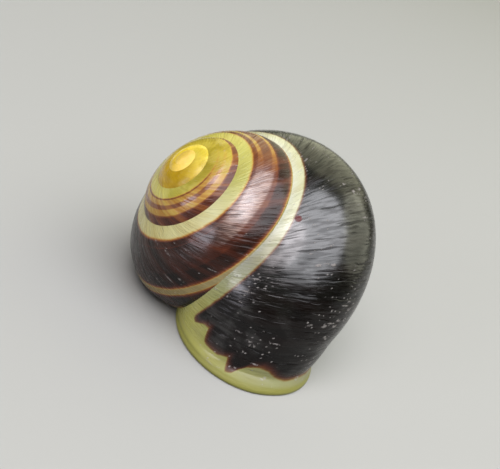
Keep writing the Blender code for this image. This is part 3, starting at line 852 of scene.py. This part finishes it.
def on_shell(along, girth, many, close, seed=0.0):
    """Coordinates on the shell: so many steps in a whorl, and so many in a millimetre round it."""
    node = tree_of(along).nodes.new("ShaderNodeCombineXYZ")
    for value, socket in zip((times(along, many), times(girth, close), seed), node.inputs):
        wire(value, socket)
    return node.outputs[0]


def place(tree):
    """The piece's own coordinates, in metres."""
    return tree.nodes.new("ShaderNodeTexCoord").outputs["Object"]


def add_bump(shader, height, distance, strength=None):
    """A Bump node before the shader's normal, its distance in metres."""
    bump = tree_of(height).nodes.new("ShaderNodeBump")
    bump.inputs["Distance"].default_value = distance
    wire(height, bump.inputs["Height"])
    wire(strength, bump.inputs["Strength"])
    wire(bump.outputs[0], shader.inputs["Normal"])
    return bump


NUMBER, COLOUR, VECTOR = "NodeSocketFloat", "NodeSocketColor", "NodeSocketVector"


def new_group(name, inputs, outputs):
    """An empty shader node group with named sockets: {name: (kind, default)}."""
    group = bpy.data.node_groups.new(name, "ShaderNodeTree")
    for label, (kind, default) in inputs.items():
        socket = group.interface.new_socket(label, in_out="INPUT", socket_type=kind)
        if default is not None:
            socket.default_value = default
    for label, kind in outputs.items():
        group.interface.new_socket(label, in_out="OUTPUT", socket_type=kind)
    start, end = group.nodes.new("NodeGroupInput"), group.nodes.new("NodeGroupOutput")
    return group, start.outputs, end.inputs


def placed_group(tree, group, **values):
    """A node group put in a tree, its inputs set by name."""
    node = tree.nodes.new("ShaderNodeGroup")
    node.node_tree = group
    for label, value in values.items():
        wire(value, node.inputs[label])
    return node.outputs


# %% [markdown]
# ## Growth lines, as a node group
#
# Seen close, the shell is ribbed with fine growth lines, coarse ones where the snail paused and
# thread-like ones between.  They could be modelled, but thousands of ridges a few hundredths of a
# millimetre high are better given as a height that bends the light.  The group draws noise that is
# stretched along each growth line, at five spacings, and puts four of them out for other uses too.

# %% The growth line group
GROWTH, given, made = new_group(
    "growth lines",
    {"Growth": (NUMBER, 0.0), "Girth": (NUMBER, 0.0), "Waver": (NUMBER, 0.006)},
    {"Height": NUMBER, "Fine": NUMBER, "Ridges": NUMBER, "Grooves": NUMBER, "Coarse": NUMBER})
# Each sort of line: steps in a whorl, steps in a millimetre round the tube, and seed.
LINES = {"Coarse": (45.0, 0.25, 0.0), "Medium": (115.0, 0.60, 3.0), "Ridges": (220.0, 0.9, 5.0),
         "Fine": (330.0, 1.4, 7.0), "Grooves": (140.0, 0.42, 9.0)}
wave = noise(on_shell(given["Growth"], given["Girth"], 9.0, 0.5), 1.0, 2.0)
wavy = nudged(given["Growth"], wave, given["Waver"])
lines = {sort: noise(on_shell(wavy, given["Girth"], *sizes), 1.0, 1.5) for sort, sizes in LINES.items()}
# Here and there growth paused, which left a thin groove.
lines["Grooves"] = stretch(lines["Grooves"], 0.43, 0.35)
# Where the snail grew fast the lines are faint, so their strength changes from place to place.
pace = noise(on_shell(wavy, given["Girth"], 14.0, 0.3, 11.0), 1.0, 2.0)
strength = stretch(pace, 0.35, 0.65, 0.45, 1.0)
height = times(lines["Medium"], 0.22)
for sort, share in (("Ridges", 0.24), ("Fine", 0.08)):
    height = maths("MULTIPLY_ADD", lines[sort], share, height)
height = times(height, strength)
for sort, share in (("Coarse", 0.38), ("Grooves", -0.10)):
    height = maths("MULTIPLY_ADD", lines[sort], share, height)
wire(height, made["Height"])
for sort in ("Fine", "Ridges", "Grooves", "Coarse"):
    wire(lines[sort], made[sort])
print("group", GROWTH.name, len(GROWTH.nodes), "nodes")

# %% [markdown]
# ## Specks and scratches, as a node group
#
# A shell that has been carried through moss and over stones is scuffed: chalky specks and short
# scratches, most of them along the growth lines, where the outer skin has flaked.  Cells stretched
# along the growth lines give them: a speck sits in the middle of a cell, and only in some cells.

# %% The speck group
SPECKS, given, made = new_group(
    "specks and scratches",
    {"Growth": (NUMBER, 0.0), "Girth": (NUMBER, 0.0), "Place": (VECTOR, None), "Amount": (NUMBER, 0.5)},
    {"Mask": NUMBER})
# Specks, dots and scratches: steps in a whorl, steps in a millimetre, size, and share of cells.
MARKS = ((75.0, 1.0, 0.24, 0.60), (170.0, 3.2, 0.24, 0.55), (130.0, 0.45, 0.20, 0.45))
cloud = noise(given["Place"], 260.0)
amount = times(stretch(cloud, 0.44, 0.64), given["Amount"])
marks = 0.0
for many, close, size, share in MARKS:
    cells = SPECKS.nodes.new("ShaderNodeTexVoronoi")
    cells.voronoi_dimensions = "2D"
    cells.inputs["Scale"].default_value = 1.0
    wire(on_shell(given["Growth"], given["Girth"], many, close), cells.inputs["Vector"])
    chance = SPECKS.nodes.new("ShaderNodeSeparateColor")
    wire(cells.outputs["Color"], chance.inputs[0])
    chosen = maths("LESS_THAN", chance.outputs[0], times(amount, share))
    mark = stretch(cells.outputs["Distance"], size, size * 0.35)
    marks = maths("MAXIMUM", times(mark, chosen), marks)
broken = stretch(noise(given["Place"], 5200.0, 2.0), 0.40, 0.56)
wire(times(marks, broken), made["Mask"])
print("group", SPECKS.name, len(SPECKS.nodes), "nodes")

# %% [markdown]
# ## The shell's colours, as a node group
#
# Two things make the colour: the pale ground, which goes from yellow at the apex to cream and is
# darkened near the mouth by painted shade, and a brown pigment over it.  The pigment is thin on the
# spire, where it looks amber, and thick on the last whorl, where it is nearly black.  So the group
# works out how much pigment a place has, and one ramp turns that amount into a colour.  The snail
# lays it down at its lip, along with the shell, so its strength changes along the tube and its
# edges stay at their place across it.

# %% The group and its pale ground, with painted shade near the mouth
SHELL, given, made = new_group(
    "shell colours",
    {"Turn": (NUMBER, 0.0), "Band": (NUMBER, 0.0), "Ending": (NUMBER, 0.0), "Coarse": (NUMBER, 0.5),
     "Fine": (NUMBER, 0.5), "Place": (VECTOR, None)},
    {"Colour": COLOUR, "Drop": NUMBER})
turn, band = given["Turn"], given["Band"]
blotch, patchy = noise(given["Place"], 380.0), noise(given["Place"], 900.0)
mottle = noise(given["Place"], 750.0, 2.0)
# The ground colour, with painted shade on the pale band just before the mouth.
ground_and_shade = along_shell(turn, GROUND_AND_SHADE)
for mask, tint in (
        # The band under the suture is whitish at its upper edge and creamier below.
        (stretch(band, 0.0, 0.8), mixed(stretch(turn, -0.9, -0.6), WHITE, CREAM)),
        # The spire is mottled with olive.
        (times(stretch(mottle, 0.45, 0.62, 0.0, 0.75), stretch(turn, -1.6, -2.1)), OLIVE),
        # Towards the base the ground is a dull olive, and along the suture it is darker and browner.
        (times(stretch(band, 5.6, 6.2), stretch(turn, -0.9, -1.0)), DULL_OLIVE),
        (stretch(band, 0.10, 0.01, 0.0, 0.6), SUTURE_TINT),
        # All over, it is clouded and lined a little.
        (stretch(blotch, 0.35, 0.7, 0.0, 0.30), CLOUDY),
        (stretch(given["Coarse"], 0.45, 0.70, 0.0, 0.35), LINED)):
    ground_and_shade = mixed(mask, ground_and_shade, tint, "MULTIPLY")

# %% [markdown]
# ## The pigment
#
# The bands are a row of on and off stops across the tube.  Between them the pigment fills in
# towards the mouth, and from the last whorl on it is whole.  What is left of it after the streaks
# and the toothed ending is the amount that the ramp turns into a colour.

# %% The pigment over it
def edge_stops(rises, falls, soft):
    """Stops of a ramp that is on between each rise and the next fall."""
    stops = [(0.0, 0.0), (1.0, 0.0)]
    for rise, fall in zip(rises, falls):
        stops += [((rise - soft) / BAND_STEPS, 0.0), ((rise + soft) / BAND_STEPS, 1.0),
                  ((fall - soft) / BAND_STEPS, 1.0), ((fall + soft) / BAND_STEPS, 0.0)]
    return stops


# The bands' edges waver a little with the growth lines, and bleed in some places.
wavering = nudged(nudged(band, blotch, 0.176), given["Fine"], 0.110)
apart = colours(maths("DIVIDE", wavering, BAND_STEPS),
                edge_stops((1, 3, 5, 7, 9), (2, 4, 6, 8, 10), 0.24), smooth=True)
apart = times(apart, mixed(stretch(band, 4.3, 4.9), along_shell(turn, UPPER_PIGMENT),
                           along_shell(turn, LOWER_PIGMENT)))
# Amber lines stay between bands 1, 2 and 3 until these run together, and a pale one before band 4.
filled = times(window(wavering, (1.6, 2.0), (5.8, 6.2)), along_shell(turn, FILLING))
whole = times(maths("POWER", stretch(wavering, 0.90, 1.14), 0.5), stretch(wavering, 10.4, 9.9),
              stretch(turn, -1.0, -0.8))
pigment = maths("MAXIMUM", maths("MAXIMUM", filled, whole), apart)
# Where the pigment is thin it is lighter, and this red-brown patch also stands in for light glowing through
# the shell: partly painted glow.
thin_and_glow = times(window(turn, (-1.36, -1.24), (-1.20, -1.10)), window(band, (3.2, 3.9), (5.0, 5.6)),
             stretch(patchy, 0.35, 0.6, 0.03, 0.14))
pigment = maths("SUBTRACT", pigment, thin_and_glow, clamp=True)
loss = times(stretch(given["Coarse"], 0.35, 0.70), along_shell(turn, STREAKING))
ending = nudged(nudged(given["Ending"], blotch, 0.30), patchy, 0.22)
pigment = times(pigment, maths("SUBTRACT", 1.0, loss), maths("POWER", stretch(ending, 0.10, 0.95), 0.45))
# Over the whitish band of the last whorl the same thin pigment looks brown, not amber.
dark = mixed(stretch(turn, -1.0, -0.85), colours(pigment, PIGMENT), BROWNER, "MULTIPLY")
painted = mixed(stretch(pigment, 0.0, 0.30), ground_and_shade, dark)
# A pale pinkish streaky patch on the whorl above the last is a painted highlight, and one drop of pigment
# fell in the pale band.
painted_sheen = times(window(turn, (-1.40, -1.30), (-1.24, -1.16)), window(band, (1.2, 2.0), (3.9, 4.8)),
                stretch(given["Fine"], 0.42, 0.62, 0.12, 0.60))
from_drop = SHELL.nodes.new("ShaderNodeVectorMath")
from_drop.operation = "DISTANCE"
wire(given["Place"], from_drop.inputs[0])
from_drop.inputs[1].default_value = DROP_AT
drop_mask = stretch(from_drop.outputs["Value"], 0.27 * MM, 0.18 * MM)
wire(drop_mask, made["Drop"])
# Here the painted highlight patch goes over the colour.
painted = mixed(painted_sheen, painted, PAINTED_SHEEN)
wire(mixed(drop_mask, painted, DROPPED), made["Colour"])
print("group", SHELL.name, len(SHELL.nodes), "nodes")

# %% [markdown]
# ## Shell materials
#
# The wall and the lip share their groups, so that the pattern runs on from one to the other.  A
# living shell is covered by a thin horn-like skin, which is what shines.  It is a coat here, over a
# duller shell, so that it can be worn: it is off on the ridges between the growth lines, in the
# grooves, on specks and in flakes near the mouth, and that breaks up the light that it mirrors.

# %% The wall's and the lip's materials
def shell_material(piece, name, relief, rough):
    """Growth lines, colours and specks; returns what the piece's own finish builds on."""
    made, tree, shader = new_material(name)
    piece.data.materials.append(made)
    turn, band, growth, girth, ending = (
        attribute(tree, label) for label in ("turn", "band", "growth", "girth", "ending"))
    lines = placed_group(tree, GROWTH, Growth=growth, Girth=girth)
    paint = placed_group(tree, SHELL, Turn=turn, Band=band, Ending=ending, Coarse=lines["Coarse"],
                         Fine=lines["Fine"], Place=place(tree))
    specks = placed_group(tree, SPECKS, Growth=growth, Girth=girth, Place=place(tree),
                          Amount=stretch(turn, -1.2, -0.4, 0.12, 0.85))["Mask"]
    duller = stretch(lines["Fine"], 0.3, 0.7, rough, rough + 0.12)
    wire(maths("MULTIPLY_ADD", specks, 0.3, duller), shader.inputs["Roughness"])
    add_bump(shader, maths("MULTIPLY_ADD", specks, 0.10, lines["Height"]), relief * MM,
             along_shell(turn, RELIEF))
    for label, value in (("Coat Roughness", 0.17), ("Coat IOR", 1.6), ("IOR", 1.5),
                         ("Specular IOR Level", 0.22)):
        shader.inputs[label].default_value = value
    colour = mixed(times(specks, 0.55), paint["Colour"], CHALK)
    return tree, shader, colour, lines, maths("MAXIMUM", specks, paint["Drop"])


def glossy_film(tree, lines, bare):
    """Where the glossy skin lies: not on ridges, grooves, flakes or bare places, and less low down."""
    turn, band = attribute(tree, "turn"), attribute(tree, "band")
    low_down = mixed(stretch(turn, -0.9, -0.7), stretch(band, 3.2, 4.6, 1.0, 0.15),
                     stretch(band, 4.4, 6.8, 1.0, 0.15))
    flakes = stretch(noise(place(tree), 620.0), 0.46, 0.60, 0.10, 1.0)
    return times(along_shell(turn, FILM), stretch(lines["Ridges"], 0.38, 0.58, 0.50, 1.0),
                 maths("MULTIPLY_ADD", lines["Grooves"], -0.92, 1.0), low_down,
                 mixed(stretch(turn, -0.30, -0.20), WHITE, flakes), maths("SUBTRACT", 1.0, bare))


tree, shader, colour, lines, bare = shell_material(wall, "banded shell", 0.19, 0.20)
wire(colour, shader.inputs["Base Color"])
wire(glossy_film(tree, lines, bare), shader.inputs["Coat Weight"])
# The lip goes over from the wall's colours to its own as it comes down, and to white inside.
LIP_WHITE_FROM = len(LIP_PROFILE) - 8
tree, shader, colour, lines, bare = shell_material(lip, "pale lip", 0.05, 0.36)
down = attribute(tree, "drop")
inward = stretch(attribute(tree, "profile"), LIP_ROWS_OUT + LIP_ROWS_EDGE, LIP_WHITE_FROM)
wire(mixed(stretch(down, 0.34, 0.62), colour, mixed(inward, LIP_OUTSIDE, LIP_INSIDE)),
     shader.inputs["Base Color"])
wire(stretch(down, 0.3, 0.0, 0.0, 0.5), shader.inputs["Coat Weight"])

# %% [markdown]
# ## Lining and skin
#
# The lining is like glazed china: white at the edge, duller and browner further in.  The skin of a
# snail is grey-brown, wet and covered in small warts, which are the cells of a Voronoi texture.
# Light goes a little way into it, so it has some subsurface scattering.

# %% The lining's and the animal's materials
china, tree, shader = new_material("white lining")
tone = mixed(stretch(attribute(tree, "depth"), 0.0, 2.2), PEARL, PEARL_DEEP)
cloud = times(noise(place(tree), 500.0), 0.4)
wire(mixed(cloud, tone, PEARL_CLOUD), shader.inputs["Base Color"])
shader.inputs["Roughness"].default_value = 0.18
inner.data.materials.append(china)

flesh, tree, shader = new_material("snail skin")
mottle = noise(place(tree), 900.0, 4.0)
skin_tone = mixed(attribute(tree, "collar"), colours(mottle, BODY), colours(mottle, COLLAR_TONE))
# The breathing pore is painted nearly black, and the deeper sunk places darker: painted shade in the
# opening, the folds, the groove behind the collar and the rounded border.
skin_tone = mixed(stretch(attribute(tree, "pore"), 0.75, 0.4), skin_tone, PORE_SHADE)
painted_fold_shade = stretch(attribute(tree, "sink"), 0.008, 0.018, 0.0, 0.5)
wire(mixed(painted_fold_shade, skin_tone, FOLD_SHADE), shader.inputs["Base Color"])
for label, value in (("Roughness", 0.32), ("Subsurface Weight", 0.15), ("Subsurface Scale", 0.3 * MM)):
    shader.inputs[label].default_value = value
warts = tree.nodes.new("ShaderNodeTexVoronoi")
warts.inputs["Scale"].default_value = 3600.0
wire(place(tree), warts.inputs["Vector"])
add_bump(shader, warts.outputs["Distance"], 0.10 * MM).invert = True
animal.data.materials.append(flesh)
print("materials", [made.name for made in bpy.data.materials])

# %% [markdown]
# ## Floor and light
#
# A glossy dark shell shows the lights more than its own colour, so the lights are what shapes it.
# A big softbox overhead gives the broad sheen on the last whorl.  The others are weak: one in front
# for the older whorls, one at each side and one behind, to draw the outline against the floor.

# %% Floor and lights
HALF = 0.6
floor_mesh = bpy.data.meshes.new("floor")
floor_mesh.from_pydata([(-HALF, -HALF, 0), (HALF, -HALF, 0), (HALF, HALF, 0), (-HALF, HALF, 0)], [],
                       [(0, 1, 2, 3)])
floor = add_object("floor", floor_mesh)
floor_paint, tree, shader = new_material("pale floor")
shader.inputs["Base Color"].default_value = (0.25, 0.25, 0.238, 1)
shader.inputs["Roughness"].default_value = 0.8
floor_mesh.materials.append(floor_paint)

MIDDLE = Vector((-1.14, 0.55, 5.51)) * MM
# Azimuth (0 is in front, 90 at the right) and elevation in degrees, distance and width in metres,
# power in watts, and colour.
SOFTBOXES = {"overhead": (37, 65, 0.40, 0.59, 4.4, (0.94, 0.95, 1.0)),
             "front": (-26, 54, 0.38, 0.25, 0.82, (0.98, 0.90, 0.93)),
             "side": (116, 30, 0.45, 0.44, 1.05, (1.0, 1.0, 0.80)),
             "back": (172, 32, 0.45, 0.50, 0.48, (1.0, 0.98, 0.70)),
             "low": (-44, 8, 0.5, 0.26, 1.0, (0.92, 0.90, 1.0))}
for name, (azimuth, elevation, distance, width, power, colour) in SOFTBOXES.items():
    light = bpy.data.lights.new(name + " softbox", "AREA")
    light.shape = "DISK"
    light.size = width
    light.energy = power
    light.color = colour
    lamp = add_object(name + " softbox", light)
    around, above = math.radians(azimuth), math.radians(elevation)
    back = Vector((math.sin(around) * math.cos(above), -math.cos(around) * math.cos(above),
                   math.sin(above)))
    lamp.location = MIDDLE + back * distance
    lamp.rotation_euler = back.to_track_quat("Z", "Y").to_euler()
world = bpy.data.worlds.new("studio")
bpy.context.scene.world = world
world.use_nodes = True
world.node_tree.nodes["Background"].inputs["Color"].default_value = (0.85, 1.0, 0.70, 1)
world.node_tree.nodes["Background"].inputs["Strength"].default_value = 0.10
print("softboxes", list(SOFTBOXES))

# %% [markdown]
# ## The camera
#
# It stands in front of the snail, looks down on it and leans to one side, so that the shell's axis
# lies as it does on a sloping trunk.  The small shifts move the frame without turning the camera.

# %% Camera
CAMERA_AT = Vector((-1.142, -54.776, 32.526)) * MM
LOOK_DOWN, ROLL = 26.022, 23.5535
camera_data = bpy.data.cameras.new("camera")
camera_data.lens = 64.86
camera_data.sensor_width = 36
camera_data.shift_x = 0.02679
camera_data.shift_y = -0.00819
camera_data.clip_start = 0.005
camera_data.clip_end = 5
camera = add_object("camera", camera_data)
camera.location = CAMERA_AT
camera.rotation_euler = (Matrix.Rotation(math.radians(90 - LOOK_DOWN), 3, "X")
                         @ Matrix.Rotation(math.radians(ROLL), 3, "Z")).to_euler()
bpy.context.scene.camera = camera
bpy.context.scene.view_settings.view_transform = "Standard"
print("camera looks down by", LOOK_DOWN, "degrees, lens", camera_data.lens, "mm")
